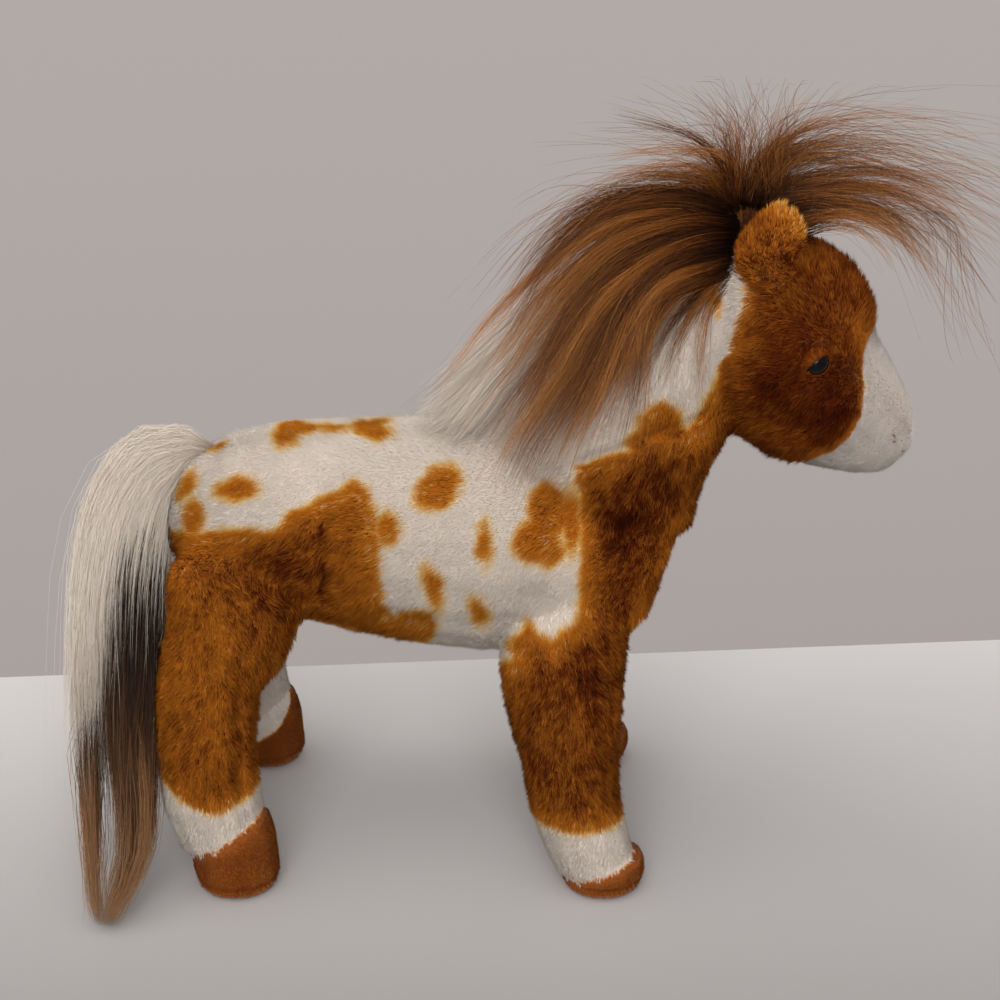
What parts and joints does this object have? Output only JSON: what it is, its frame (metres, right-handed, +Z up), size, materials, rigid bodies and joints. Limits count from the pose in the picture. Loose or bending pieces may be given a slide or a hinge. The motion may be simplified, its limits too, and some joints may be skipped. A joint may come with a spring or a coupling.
{
  "type": "plush horse",
  "caption": "Standing stuffed horse with long pile mane and tail, spotted body, white socks and blaze, and tan hooves.",
  "frame": {"origin": "middle of the footprint box, on the surface that the soles rest on", "axes": "+X towards the nose, +Y towards the left side, +Z up"},
  "size_m": [0.3872, 0.175, 0.3325],
  "materials": {
    "spotted_plush": "short pile, white with printed orange and brown patches",
    "leg_plush": "short pile, golden brown, white at the sock",
    "chestnut_plush": "short pile, chestnut with golden tips",
    "white_plush": "short dense white pile",
    "ear_lining": "very short pile",
    "hoof_plush": "very short dense tan pile",
    "mane_pile": "long glossy brown pile, dark at the roots",
    "tail_pile": "long pile, cream above and dark brown below",
    "eye_plastic": "polished black dome",
    "washer_plastic": "moulded",
    "fibrefill": "loose white polyester fibre"
  },
  "bodies": {
    "root": {"foreleg_right_cover": "leg_plush", "foreleg_right_hoof": "hoof_plush", "foreleg_right_sole": "hoof_plush", "foreleg_right_filling": "fibrefill", "hindleg_right_cover": "leg_plush", "hindleg_right_hoof": "hoof_plush", "hindleg_right_sole": "hoof_plush", "hindleg_right_filling": "fibrefill", "foreleg_left_cover": "leg_plush", "foreleg_left_hoof": "hoof_plush", "foreleg_left_sole": "hoof_plush", "foreleg_left_filling": "fibrefill", "hindleg_left_cover": "leg_plush", "hindleg_left_hoof": "hoof_plush", "hindleg_left_sole": "hoof_plush", "hindleg_left_filling": "fibrefill", "torso_cover": "spotted_plush", "torso_filling": "fibrefill", "neck_cover": "spotted_plush", "neck_filling": "fibrefill", "eye_right": "eye_plastic", "eye_washer_right": "washer_plastic", "ear_right_back": "chestnut_plush", "ear_right_lining": "ear_lining", "eye_left": "eye_plastic", "eye_washer_left": "washer_plastic", "ear_left_back": "chestnut_plush", "ear_left_lining": "ear_lining", "head_cover": "chestnut_plush", "muzzle_cover": "white_plush", "head_filling": "fibrefill", "forelock": "mane_pile", "mane": "mane_pile", "tail": "tail_pile"}
  },
  "joints": []
}
